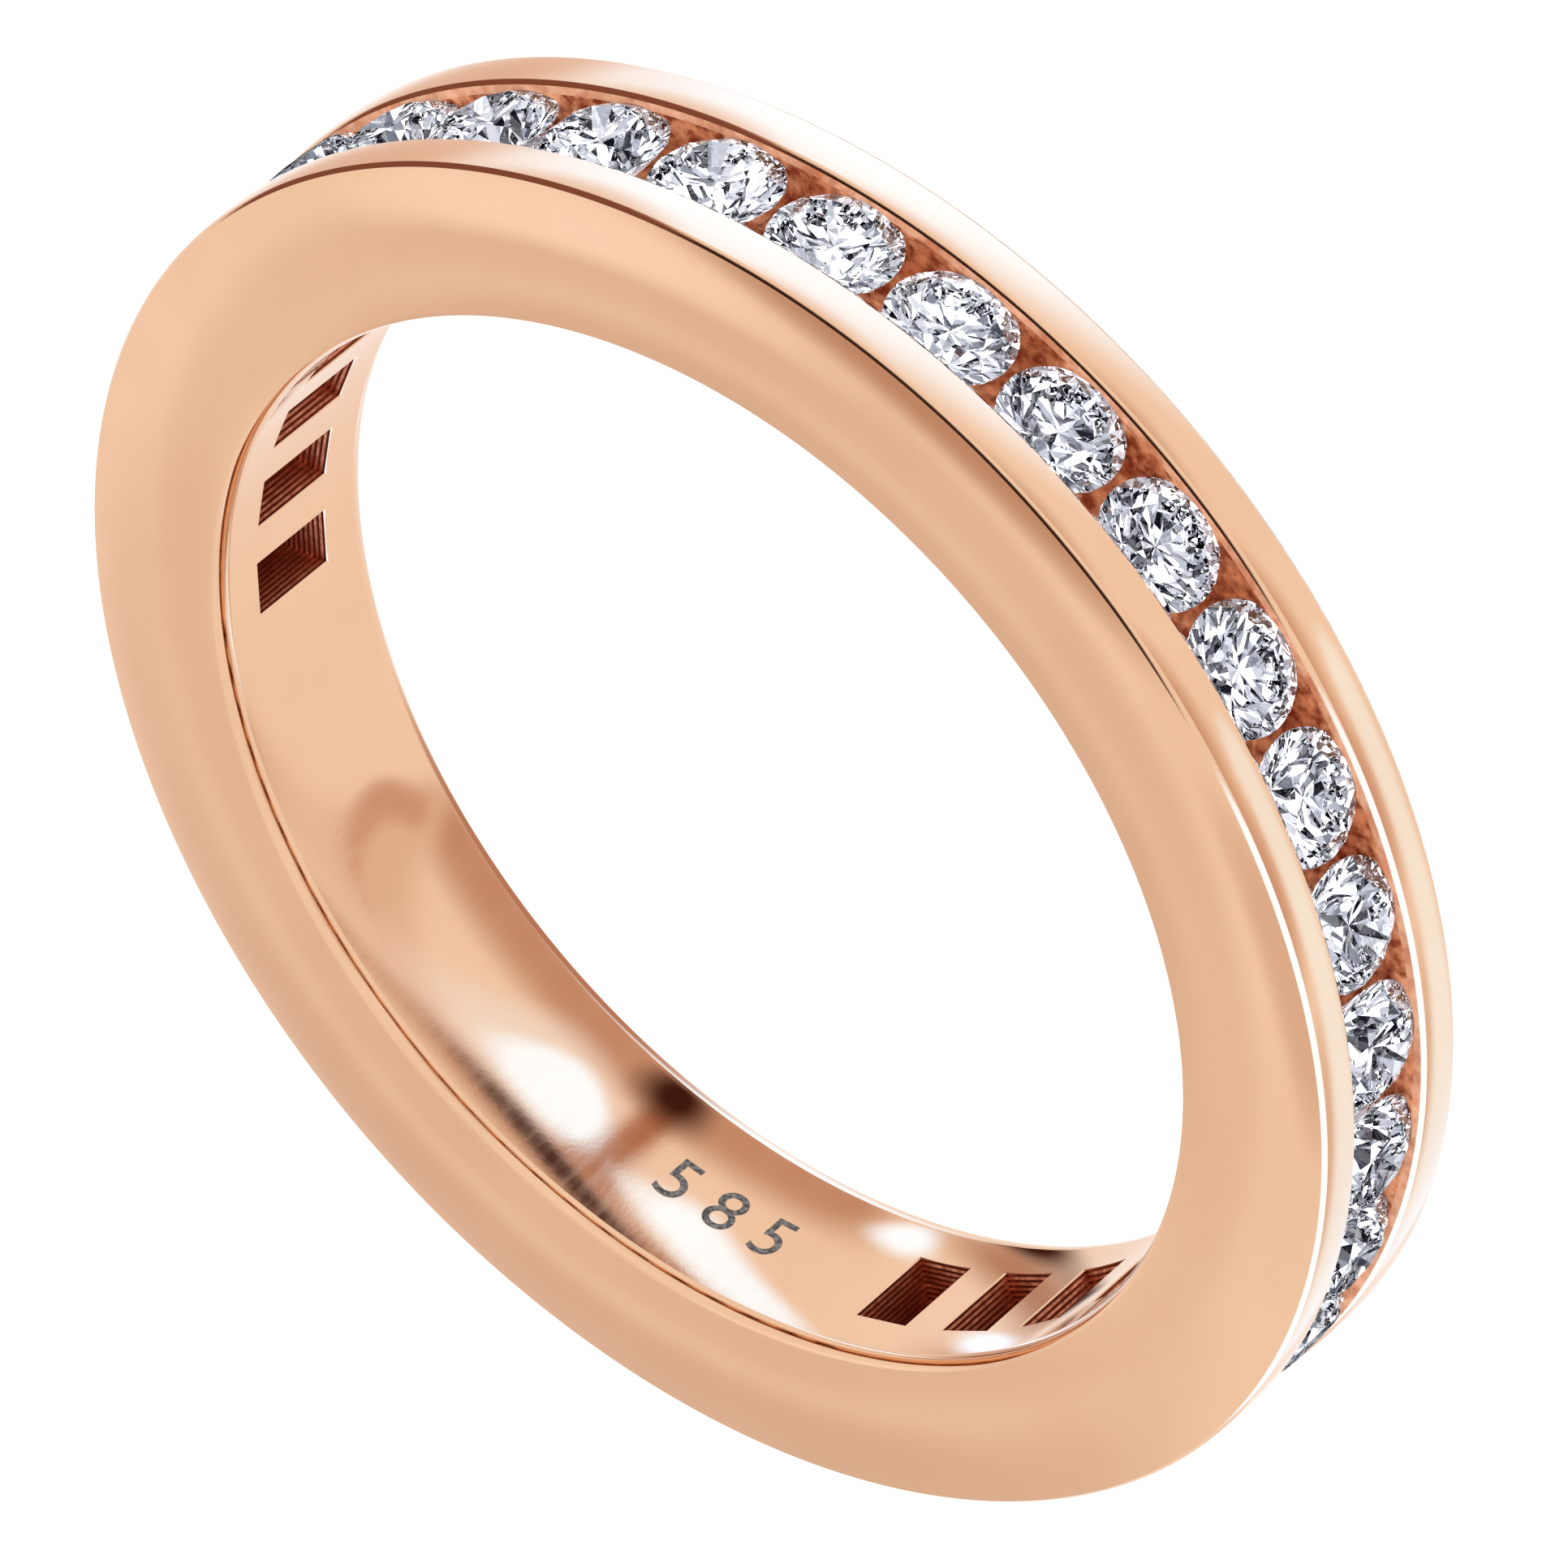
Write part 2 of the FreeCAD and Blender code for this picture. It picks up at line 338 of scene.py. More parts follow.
def groove_cutter():
    """The groove between the rails, from the first stone's axis to the last one's."""
    side, kinds = channel_side()
    floor = np.linspace(CHANNEL_HALF_WIDTH, -CHANNEL_HALF_WIDTH, FLOOR_STEPS + 1)[1:-1]
    loop = [(width, radius) for width, radius in side[::-1]]
    loop += [(width, CHANNEL_FLOOR_RADIUS) for width in floor]
    loop += [(-width, radius) for width, radius in side]
    surfaces = kinds[::-1] + [CAST] * (len(floor) + 1) + kinds + [OUTSIDE]
    steps = round((LAST_STONE_ANGLE - FIRST_STONE_ANGLE) / GROOVE_STEP)
    angles = np.radians(np.linspace(FIRST_STONE_ANGLE, LAST_STONE_ANGLE, steps + 1))
    rows = len(loop)
    points, faces, numbers = [], [], []
    bright = RAIL_RADIUS - RAIL_BEVEL - BRIGHT_CUT_DEPTH
    for turn, angle in enumerate(angles):
        for width, radius in loop:
            point = polar(radius, angle, width)
            if radius < bright - ROUGH_GAP:
                ease = min(1.0, (bright - radius) / ROUGH_EASE)
                out = ROUGH_DEPTH * ease * roughness(point)
                if radius > CHANNEL_FLOOR_RADIUS:
                    point = polar(radius, angle, width + math.copysign(out, width))
                else:
                    point = polar(radius + out, angle, width)
            points.append(point)
        if turn:
            here, there = (turn - 1) * rows, turn * rows
            for row in range(rows):
                up = (row + 1) % rows
                faces.append((here + row, there + row, there + up, here + up))
                numbers.append(surfaces[row])
    faces.append(tuple(range(rows)))
    faces.append(tuple(range(len(points) - 1, len(points) - 1 - rows, -1)))
    numbers += [CAST, CAST]
    return mesh_object("groove", points, faces, numbers)


def stone_frame(index):
    """Turns a shape built round +Z, its girdle at the origin, to its stone's place."""
    angle = math.radians(FIRST_STONE_ANGLE + STONE_PITCH * index)
    stand = Matrix.Translation((GIRDLE_RADIUS, 0, 0)) @ Matrix.Rotation(math.pi / 2, 4, "Y")
    return Matrix.Rotation(angle, 4, "Z") @ stand


def lathe(name, section, surfaces, places, steps=64, rough_below=None):
    """A closed turned shape at each place. Its section, in (radius, height), runs axis to axis."""
    points, faces, numbers = [], [], []
    for place in places:
        start = len(points)
        rings = len(section) - 2
        points.append(place @ Vector((0, 0, section[0][1])))
        for radius, height in section[1:-1]:
            for step in range(steps):
                angle = 2 * math.pi * step / steps
                point = place @ Vector(polar(radius, angle, height))
                if rough_below is not None and height < rough_below:
                    middle = place @ Vector((0, 0, height))
                    point += (point - middle).normalized() * ROUGH_DEPTH * roughness(point)
                points.append(point)
        points.append(place @ Vector((0, 0, section[-1][1])))
        last = len(points) - 1
        for step in range(steps):
            other = (step + 1) % steps
            faces.append((start, start + 1 + other, start + 1 + step))
            numbers.append(surfaces[0])
            for ring in range(rings - 1):
                low = start + 1 + ring * steps
                high = low + steps
                faces.append((low + step, low + other, high + other, high + step))
                numbers.append(surfaces[ring + 1])
            top = start + 1 + (rings - 1) * steps
            faces.append((top + step, top + other, last))
            numbers.append(surfaces[-1])
    return mesh_object(name, points, faces, numbers)


def end_cutter(index):
    """The half-round end of the groove, round the axis of the first or the last stone."""
    side, kinds = channel_side()
    section = [(0.0, CHANNEL_FLOOR_RADIUS - GIRDLE_RADIUS)]
    section += [(width, radius - GIRDLE_RADIUS) for width, radius in side]
    section += [(0.0, side[-1][1] - GIRDLE_RADIUS)]
    surfaces = [CAST] + [END_CUT if kind in (LIP, BRIGHT_CUT) else kind for kind in kinds]
    rough_below = RAIL_RADIUS - RAIL_BEVEL - BRIGHT_CUT_DEPTH - GIRDLE_RADIUS - ROUGH_GAP
    places = [stone_frame(index)]
    return lathe("channel_end", section, surfaces + [OUTSIDE], places, 96, rough_below)


def seat_cutter():
    """The burred seats under both rails, just clear of every stone."""
    gap = SEAT_CLEARANCE
    half_step = math.cos(math.pi / 8)  # an eight-sided table's inner radius over its outer one
    culet = -HALF_GIRDLE - STONE_RADIUS * PAVILION_SLOPE
    table_height = HALF_GIRDLE + (STONE_RADIUS - TABLE_RADIUS) * CROWN_SLOPE
    star = (STONE_RADIUS + TABLE_RADIUS * half_step) / 2
    star_height = table_height - (star * half_step - TABLE_RADIUS) * CROWN_SLOPE
    lower = LOWER_HALF_END
    lower_height = culet + lower * half_step * PAVILION_SLOPE
    section = [
        (0.0, culet - gap),
        (lower + gap, lower_height - gap),
        (STONE_RADIUS + gap, -HALF_GIRDLE - gap),
        (STONE_RADIUS + gap, HALF_GIRDLE + gap),
        (star + gap, star_height + gap),
        (TABLE_RADIUS + gap, table_height + gap),
        (0.0, table_height + gap),
    ]
    places = [stone_frame(index) for index in range(STONE_COUNT)]
    return lathe("seats", section, [SEAT] * 6, places, 56)


def layer_profile():
    """(radius, scale, surface) of each corner of a window's stepped funnel, from the bore out."""
    taper = (1 - WINDOW_TOP_SCALE) / (WINDOW_TOP_RADIUS - BORE_RADIUS)
    rim = WINDOW_RIM / WINDOW_HALF_WIDTH
    flare = 1 + rim * (1 + WINDOW_REACH / WINDOW_RIM)
    steps = [(BORE_RADIUS - WINDOW_REACH, flare, WINDOW_EDGE)]
    steps += [(BORE_RADIUS + WINDOW_RIM, 1.0 - taper * WINDOW_RIM, WINDOW)]
    depth = (WINDOW_TOP_RADIUS - BORE_RADIUS - WINDOW_RIM) / LAYER_COUNT
    for layer in range(LAYER_COUNT):
        foot = BORE_RADIUS + WINDOW_RIM + depth * layer
        crest = foot + depth * LAYER_CREST
        scale = 1 - taper * (crest - BORE_RADIUS)
        steps.append((crest, scale + LAYER_STEP, WINDOW))
        end = foot + depth
        steps.append((end, 1 - taper * (end - BORE_RADIUS), WINDOW))
    return steps


def window_cutter():
    """The rectangular funnel behind every stone, with fine casting layers on its walls."""
    profile = layer_profile()
    points, faces, numbers = [], [], []
    for index in range(STONE_COUNT):
        place = stone_frame(index)
        start = len(points)
        for radius, scale, _ in profile:
            width, length = WINDOW_HALF_WIDTH, WINDOW_HALF_LENGTH
            growth = (scale - 1) * width if scale > 1 else 0
            shrink = min(scale, 1.0)
            half_round, half_long = width * shrink + growth, length * shrink + growth
            height = radius - GIRDLE_RADIUS
            corners = [(-1, -1), (1, -1), (1, 1), (-1, 1)]
            points += [place @ Vector((x * half_long, y * half_round, height)) for x, y in corners]
        for level in range(len(profile) - 1):
            low, high = start + 4 * level, start + 4 * level + 4
            for corner in range(4):
                other = (corner + 1) % 4
                faces.append((low + corner, low + other, high + other, high + corner))
                numbers.append(profile[level][2])
        faces.append((start + 3, start + 2, start + 1, start))
        top = start + 4 * (len(profile) - 1)
        faces.append((top, top + 1, top + 2, top + 3))
        numbers += [WINDOW, WINDOW]
    return mesh_object("windows", points, faces, numbers)


def light_hole_cutter():
    """The round hole between each window's end and the stone's seat."""
    into_window, into_channel = 0.2, 0.1
    foot = WINDOW_TOP_RADIUS - into_window - GIRDLE_RADIUS
    top = CHANNEL_FLOOR_RADIUS + into_channel - GIRDLE_RADIUS
    section = [(0.0, foot), (LIGHT_HOLE_RADIUS, foot), (LIGHT_HOLE_RADIUS, top), (0.0, top)]
    places = [stone_frame(index) for index in range(STONE_COUNT)]
    return lathe("light_holes", section, [WINDOW] * 3, places, 32)


# ---- The finished band ----
def channel_distance(points):
    """How far each point of the outside lies from the edge of the channel, in millimetres."""
    angles = np.degrees(np.arctan2(points[:, 1], points[:, 0])) % 360
    angles = np.where(angles < FIRST_STONE_ANGLE - 90, angles + 360, angles)
    past = np.maximum(FIRST_STONE_ANGLE - angles, angles - LAST_STONE_ANGLE)
    along = np.radians(np.maximum(past, 0)) * RAIL_RADIUS
    return np.hypot(along, points[:, 2]) - CHANNEL_HALF_WIDTH - RAIL_BEVEL


def rail_edges(points):
    """How near each point of the outside is to the channel's edge and to the side's, up to 1."""
    side_edge = RAIL_HALF_WIDTH - RAIL_BEVEL - np.abs(points[:, 2])
    inner = 1 - np.clip(channel_distance(points) / RAIL_EASE_WIDTH, 0, 1)
    outer = 1 - np.clip(side_edge / RAIL_EASE_WIDTH, 0, 1)
    return inner, outer


def ease_rails(mesh):
    """Lets the polished outside fall away a little towards its edges."""
    points = vertex_array(mesh)
    radius = np.hypot(points[:, 0], points[:, 1])
    inner, outer = rail_edges(points)
    on_top = np.clip((radius - RAIL_RADIUS + RAIL_BEVEL) / RAIL_BEVEL, 0, 1)
    drop = RAIL_EASE_DROP * (inner**2 + outer**2) * on_top
    points[:, :2] *= ((radius - drop) / radius)[:, None]
    mesh.vertices.foreach_set("co", points.ravel())


def smooth_normals(mesh, spans):
    """Gives every polished face the exact normals of its surface."""
    loop_points = np.empty(len(mesh.loops), int)
    mesh.loops.foreach_get("vertex_index", loop_points)
    surface = face_surfaces(mesh)
    loop_surface = corner_surfaces(mesh)
    place = vertex_array(mesh)[loop_points]
    radius = np.hypot(place[:, 0], place[:, 1])
    outward = place[:, :2] / radius[:, None]
    normals = np.zeros_like(place)
    for span in spans:
        chosen = loop_surface == span.surface
        flat = span.normals(np.stack([radius[chosen], place[chosen, 2]], 1))
        normals[chosen, :2] = outward[chosen] * flat[:, :1]
        normals[chosen, 2] = flat[:, 1]
    rail = loop_surface == OUTSIDE
    inner, outer = rail_edges(place[rail])
    lean = 2 * RAIL_EASE_DROP * (outer - inner) / RAIL_EASE_WIDTH
    normals[rail, 2] = lean * np.sign(place[rail, 2])
    lip, lip_faces = lip_span(), loop_surface == LIP
    turned = np.stack([radius[lip_faces], np.abs(place[lip_faces, 2])], 1)
    flat = lip.normals(turned)
    normals[lip_faces, :2] = outward[lip_faces] * flat[:, :1]
    normals[lip_faces, 2] = flat[:, 1] * np.sign(place[lip_faces, 2])
    cut = loop_surface == BRIGHT_CUT
    normals[cut, 2] = -np.sign(place[cut, 2])
    lengths = np.linalg.norm(normals, axis=1)
    normals[lengths > 0] /= lengths[lengths > 0][:, None]
    mesh.polygons.foreach_set("use_smooth", ~np.isin(surface, [WINDOW, WINDOW_EDGE, SEAT]))
    sharpen(mesh)
    mesh.normals_split_custom_set([tuple(n) for n in normals])


def sharpen(mesh):
    """Marks the edges between two different surfaces as sharp."""
    edge_of = np.empty(len(mesh.loops), int)
    mesh.loops.foreach_get("edge_index", edge_of)
    kinds = corner_surfaces(mesh)
    low = np.full(len(mesh.edges), WINDOW_EDGE + 1)
    high = np.full(len(mesh.edges), -1)
    np.minimum.at(low, edge_of, kinds)
    np.maximum.at(high, edge_of, kinds)
    mark = mesh.attributes.get("sharp_edge") or mesh.attributes.new("sharp_edge", "BOOLEAN", "EDGE")
    mark.data.foreach_set("value", low != high)


def make_band(polished, cast, window_painted_shade, satin):
    """The gold band, cut and polished, in place of the CAD band."""
    spans = section_spans()
    made = blank(spans)
    cut_away(made, groove_cutter())
    cut_away(made, end_cutter(0))
    cut_away(made, end_cutter(STONE_COUNT - 1))
    cut_away(made, seat_cutter())
    cut_away(made, window_cutter())
    cut_away(made, light_hole_cutter())
    mesh = made.data
    ease_rails(mesh)
    smooth_normals(mesh, spans)
    surface = face_surfaces(mesh)
    finish = np.zeros(len(surface), int)
    finish[np.isin(surface, [CAST, SEAT])] = 1
    finish[surface == WINDOW] = 2
    finish[surface == BRIGHT_CUT] = 3
    mesh.materials.clear()
    for material in (polished, cast, window_painted_shade, satin):
        mesh.materials.append(material)
    mesh.polygons.foreach_set("material_index", finish)
    mesh.transform(Matrix.Scale(METRES, 4))
    made.name = "gold_band"
    mesh.name = "gold_band"
    hidden_from(made, "transmission")  # the stones don't show the gold through themselves
    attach(made, "root")
    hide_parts("band")
    return made


def make_mark(material):
    """A plain fineness number on the bore, read with the ring's lower side up."""
    curve = bpy.data.curves.new("fineness_number", "FONT")
    curve.body = MARK_TEXT
    curve.size = MARK_SIZE
    curve.space_character = MARK_SPACING
    curve.extrude = MARK_THICKNESS / 2
    curve.resolution_u = 6
    text = add_object("fineness_text", curve)
    graph = bpy.context.evaluated_depsgraph_get()
    mesh = bpy.data.meshes.new_from_object(text.evaluated_get(graph), depsgraph=graph)
    bpy.data.objects.remove(text)
    for vertex in mesh.vertices:
        x, y, z = vertex.co
        radius = BORE_RADIUS - z
        vertex.co = polar(radius, math.radians(MARK_TURN) + x / BORE_RADIUS, MARK_BASELINE - y)
    mesh.materials.clear()
    mesh.materials.append(material)
    mesh.transform(Matrix.Scale(METRES, 4))
    made = add_object("fineness_number", mesh)
    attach(made, "root")
    return made


# ---- Materials ----
class Nodes:
    """A short way to write a node tree."""

    def __init__(self, tree):
        self.tree = tree

    def add(self, kind, **sockets):
        node = self.tree.nodes.new("ShaderNode" + kind)
        for name, value in sockets.items():
            self.set(node, name.replace("_", " "), value)
        return node

    def set(self, node, name, value):
        self.fill(node.inputs[name], value)

    def fill(self, socket, value):
        """Links a socket to another one, or sets its value."""
        if isinstance(value, bpy.types.NodeSocket):
            self.tree.links.new(value, socket)
        else:
            socket.default_value = value


def new_material(name):
    material = bpy.data.materials.new(name)
    material.use_nodes = True
    nodes = Nodes(material.node_tree)
    shader = material.node_tree.nodes["Principled BSDF"]
    return material, nodes, shader


def object_noise(nodes, scale, detail=2.0, stretch=None):
    """Noise over object space; scale is in features to the millimetre."""
    place = nodes.add("TexCoord").outputs["Object"]
    if stretch:
        mapped = nodes.add("Mapping", Vector=place, Scale=stretch)
        place = mapped.outputs["Vector"]
    made = nodes.add("TexNoise", Vector=place, Scale=scale / METRES, Detail=detail)
    return made.outputs["Fac"]


def map_range(nodes, value, low, high, start, end):
    made = nodes.add("MapRange", Value=value)
    for name, number in (("From Min", low), ("From Max", high), ("To Min", start), ("To Max", end)):
        made.inputs[name].default_value = number
    return made.outputs["Result"]


def paint(nodes, shader, value, low, dark, high, light):
    """Runs the base colour from dark, where value is low, to light, where it is high."""
    tone = nodes.add("ValToRGB", Fac=value)
    ends = tone.color_ramp.elements
    ends[0].position = low
    ends[0].color = (*dark, 1)
    ends[1].position = high
    ends[1].color = (*light, 1)
    nodes.set(shader, "Base Color", tone.outputs["Color"])


def raise_surface(nodes, shader, height, strength, distance):
    """Bumps of this distance, in millimetres."""
    bump = nodes.add("Bump", Height=height)
    bump.inputs["Strength"].default_value = strength
    bump.inputs["Distance"].default_value = distance * METRES
    nodes.set(shader, "Normal", bump.outputs["Normal"])


def polished_gold():
    """Mirror-polished rose gold with the faint waviness and hairlines of hand polishing."""
    material, nodes, shader = new_material("polished_rose_gold")
    clouds = object_noise(nodes, 0.35, 2.0)
    paint(nodes, shader, clouds, 0.3, (0.815, 0.505, 0.318), 0.7, (0.845, 0.535, 0.342))
    shader.inputs["Metallic"].default_value = 1.0
    hairlines = object_noise(nodes, 6.0, 3.0, (1.0, 1.0, 0.12))
    nodes.set(shader, "Roughness", map_range(nodes, hairlines, 0.3, 0.7, 0.06, 0.10))
    raise_surface(nodes, shader, object_noise(nodes, 14.0, 2.0), 0.02, 0.01)
    return material


def cast_gold():
    """The unpolished casting inside the channel: darker, pitted, with bright flecks."""
    material, nodes, shader = new_material("cast_rose_gold")
    grain = object_noise(nodes, 4.5, 6.0)
    paint(nodes, shader, grain, 0.38, (0.34, 0.07, 0.028), 0.62, (0.92, 0.42, 0.22))
    shader.inputs["Metallic"].default_value = 0.5
    shader.inputs["Specular IOR Level"].default_value = 0.1
    nodes.set(shader, "Roughness", map_range(nodes, grain, 0.3, 0.7, 0.55, 0.30))
    raise_surface(nodes, shader, object_noise(nodes, 12.0, 5.0), 0.7, 0.02)
    return material


def satin_gold():
    """The burnished strip along the top of each channel wall."""
    material, nodes, shader = new_material("satin_rose_gold")
    streaks = object_noise(nodes, 5.0, 3.0, (1.0, 1.0, 4.0))
    paint(nodes, shader, streaks, 0.35, (0.70, 0.30, 0.17), 0.65, (0.90, 0.52, 0.34))
    shader.inputs["Metallic"].default_value = 0.5
    nodes.set(shader, "Roughness", map_range(nodes, streaks, 0.3, 0.7, 0.30, 0.42))
    shader.inputs["Specular IOR Level"].default_value = 0.1
    return material


def window_gold_painted_shade():
    """The window walls, rough as cast, with their dark red-brown base colour painted in as shade of
    the deep funnels.
    """
    material, nodes, shader = new_material("window_rose_gold_painted_shade")
    grain = object_noise(nodes, 10.0, 4.0)
    # painted shade: the dark red-brown range of this base colour stands in for the shade and
    # gold-on-gold reflections deep in the windows
    paint(nodes, shader, grain, 0.3, (0.34, 0.09, 0.045), 0.7, (0.66, 0.26, 0.15))
    shader.inputs["Metallic"].default_value = 1.0
    nodes.set(shader, "Roughness", map_range(nodes, grain, 0.3, 0.7, 0.45, 0.3))
    raise_surface(nodes, shader, grain, 0.4, 0.015)
    return material


def etched_gold():
    """The grey, speckled floor of a laser-etched number."""
    material, nodes, shader = new_material("etched_mark")
    grain = object_noise(nodes, 16.0, 3.0)
    paint(nodes, shader, grain, 0.4, (0.035, 0.035, 0.04), 0.6, (0.12, 0.12, 0.125))
    shader.inputs["Metallic"].default_value = 0.0
    shader.inputs["Roughness"].default_value = 0.8
    return material


def diamond():
    """Clear cut diamond, with the faintest change of tint from stone to stone."""
    material, nodes, shader = new_material("brilliant_diamond")
    clouds = object_noise(nodes, 0.25, 1.0)
    paint(nodes, shader, clouds, 0.0, (0.96, 0.97, 1.0), 1.0, (0.99, 0.99, 0.99))
    shader.inputs["Transmission Weight"].default_value = 1.0
    shader.inputs["IOR"].default_value = 2.42
    shader.inputs["Roughness"].default_value = 0.0
    return material


# ---- Studio ----
def hidden_from(obj, *rays):
    """Takes an object out of the sight of these kinds of ray."""
    for ray in rays:
        setattr(obj, "visible_" + ray, False)


def plain_stage(name, corners, faces, colour, strength):
    """A plain glowing surface that only the camera sees."""
    mesh = bpy.data.meshes.new(name)
    mesh.from_pydata(corners, [], faces)
    made = add_object(name, mesh)
    material, _, shader = new_material("plain_" + name)
    shader.inputs["Base Color"].default_value = colour
    shader.inputs["Roughness"].default_value = 1.0
    shader.inputs["Specular IOR Level"].default_value = 0.0
    shader.inputs["Emission Color"].default_value = (1, 1, 1, 1)
    shader.inputs["Emission Strength"].default_value = strength
    mesh.materials.append(material)
    hidden_from(made, "glossy", "transmission", "shadow", "diffuse")


def white_floor():
    """A pale floor that the metal and the stones don't mirror."""
    size, lowest = FLOOR_HALF, cad_box[0][2]
    corners = [(x * size, y * size, lowest) for x, y in ((-1, -1), (1, -1), (1, 1), (-1, 1))]
    plain_stage("floor", corners, [(0, 1, 2, 3)], (0.14, 0.12, 0.10, 1), 0.97)


def backdrop():
    """A plain white surround."""
    size = BACKDROP_HALF
    corners = [(x * size, y * size, z * size) for x in (-1, 1) for y in (-1, 1) for z in (-1, 1)]
    faces = [(0, 1, 3, 2), (4, 6, 7, 5), (0, 4, 5, 1), (2, 3, 7, 6), (1, 5, 7, 3)]
    plain_stage("backdrop", corners, faces, (0, 0, 0, 1), 1.0)


# The light that polished gold mirrors.
WHITE_LIGHT = (1.22, 1.90, 2.90)  # bright enough to wash rose gold out to white
SIDE_LIGHT = (1.10, 1.42, 1.75)
MAIN_LIGHT = (1.045, 1.045, 1.055)  # everywhere that nothing below names
PALE = (0.98, 0.92, 0.90)
WARM = (0.70, 0.47, 0.38)
BROWN = (0.50, 0.26, 0.18)
BLACK_BROWN = (0.24, 0.10, 0.07)
DEEP_BROWN = (0.06, 0.018, 0.012)
DARK = (0.030, 0.010, 0.006)

REST_LIGHT = (0.012, 0.012, 0.014)  # what the outsides of the stones mirror
FILL_LIGHT = (2.2, 2.05, 1.9)  # what unpolished gold receives, deep between the stones

# What light the stones let through, by the value of a noise over all directions.
SPARKLE_SCALE = 3.0
SPARKLE_STEPS = [
    (0.450, (0.005, 0.005, 0.01)),
    (0.470, (0.14, 0.15, 0.20)),
    (0.500, (0.62, 0.65, 0.76)),
    (0.565, (1.10, 1.12, 1.20)),
    (0.610, (2.90, 2.95, 3.10)),
]

# Papers, lamps and flags round the gold, named by the gold in which the camera sees them: the
# turn round the ring and the lean of the surface from facing outward (0) to facing up (90),
# then the radius of the even core and of the soft edge, all in degrees, and the colour.
# Later ones lie over earlier ones.
STUDIO_PATCHES = [
    (298, -9, 4, 46, WHITE_LIGHT),
    (130, 80, 4, 20, (0.82, 0.75, 0.71)),
    (305, 85, 3, 13, (0.88, 0.83, 0.81)),
    (228, 76, 2, 8, (0.84, 0.74, 0.70)),
    (285, 74, 5, 14, (0.60, 0.43, 0.36)),
    (322, 79, 2, 9, (1.14, 1.18, 1.26)),
    (212, 12, 8, 28, (0.86, 0.78, 0.74)),
    (238, 13, 6, 24, WARM),
    (252, 13, 6, 24, WARM),
    (272, 13, 6, 22, (0.72, 0.58, 0.52)),
    (295, 15, 6, 24, PALE),
    (318, 15, 6, 24, PALE),
    (342, 11, 6, 24, (0.88, 0.74, 0.68)),
    (265, -24, 12, 28, (0.55, 0.33, 0.26)),
]
STUDIO_PATCHES += [(turn, -1.5, 1, 9, SIDE_LIGHT) for turn in range(200, 252, 4)]
STUDIO_PATCHES += [(turn, 51, 8, 15, DARK) for turn in range(264, 312, 5)]
STUDIO_PATCHES += [(turn, 45, 8, 15, BLACK_BROWN) for turn in range(314, 346, 5)]
STUDIO_PATCHES += [(turn, 45, 10, 17, WHITE_LIGHT) for turn in range(196, 240, 6)]

# Patches of the card that the polished bore mirrors, named in the same way: the turn round the
# ring and the height, half the length and half the height, the softness and the colour.
BORE_PATCHES = [((turn, -1.3), (5.0, 0.60), 0.8, (0.66, 0.47, 0.40)) for turn in range(74, 134, 6)]
BORE_PATCHES += [
    ((70.0, 0.2), (5.5, 1.4), 0.8, (0.90, 0.80, 0.77)),
    ((92.0, 1.10), (12.0, 0.30), 0.7, (0.62, 0.42, 0.35)),
    ((97.0, 0.15), (10.5, 0.80), 0.6, (1.08, 1.30, 1.60)),
    ((99.0, 0.18), (6.8, 0.62), 0.28, WHITE_LIGHT),
    ((137.0, -1.0), (3.5, 0.36), 0.6, WHITE_LIGHT),
]
for height in np.arange(1.2, -1.0, -0.2):
    bend = 7.5 * max(0.0, -0.1 - height)**2
    BORE_PATCHES += [((65.0 + bend, height), (1.6, 0.28), 0.9, (0.72, 0.53, 0.48))]
BORE_PATCHES += [((107.8, height), (1.7, 0.45), 0.8, BROWN) for height in (-0.6, -0.1, 0.4, 0.8)]
BORE_PATCHES += [((107.4, -1.15), (3.6, 0.50), 0.7, DEEP_BROWN)]

# Where the bore's mirror image folds over itself, patches are ovals of the card itself:
# centre and half lengths in millimetres, turn, softness and colour.
FOLDED_PATCHES = [
    ((-6.50, 4.60), (0.85, 0.45), 60, 0.9, (0.55, 0.36, 0.29)),
    ((-1.35, 5.62), (0.66, 0.20), 150, 0.5, WHITE_LIGHT),
    ((-0.53, 5.20), (0.42, 0.08), -54, 0.7, BROWN),
    ((-0.20, 4.74), (0.26, 0.20), 120, 0.6, DEEP_BROWN),
    ((-7.20, 4.30), (0.70, 0.26), 64, 0.6, DEEP_BROWN),
]


def mixed(nodes, factor, under, over):
    """One colour over another; either is a colour socket or a plain colour."""
    mix = nodes.add("Mix", Factor=factor)
    mix.data_type = "RGBA"
    colours = [socket for socket in mix.inputs if socket.type == "RGBA"]
    for socket, colour in zip(colours, (under, over)):
        nodes.fill(socket, (*colour, 1) if isinstance(colour, tuple) else colour)
    return next(socket for socket in mix.outputs if socket.type == "RGBA")


def painted(nodes, base, layers):
    """A plain colour with layers over it, each a colour and a factor socket."""
    colour = base
    for over, factor in layers:
        colour = mixed(nodes, factor, colour, over)
    return colour


def soft_step(nodes, value, full, none):
    """1 where value reaches full, 0 where it reaches none, and smooth between."""
    made = nodes.add("MapRange", Value=value)
    made.interpolation_type = "SMOOTHSTEP"
    made.inputs["From Min"].default_value = none
    made.inputs["From Max"].default_value = full
    return made.outputs["Result"]


def mirrored_direction(turn, lean):
    """Where the camera's ray goes from gold that faces out at this turn and leans up."""
    a, e = math.radians(turn), math.radians(lean)
    facing = Vector((math.cos(a) * math.cos(e), math.sin(a) * math.cos(e), math.sin(e)))
    return view_direction().reflect(facing)


def mirrored_place(turn, height):
    """The point of the card that the camera sees in the bore at this turn and height."""
    a = math.radians(turn)
    reach = (height - CARD_HEIGHT) / math.tan(math.radians(CAMERA_ELEVATION))
    return np.array([BORE_RADIUS * math.cos(a) - reach * math.sin(2 * a),
                     BORE_RADIUS * math.sin(a) + reach * math.cos(2 * a)])


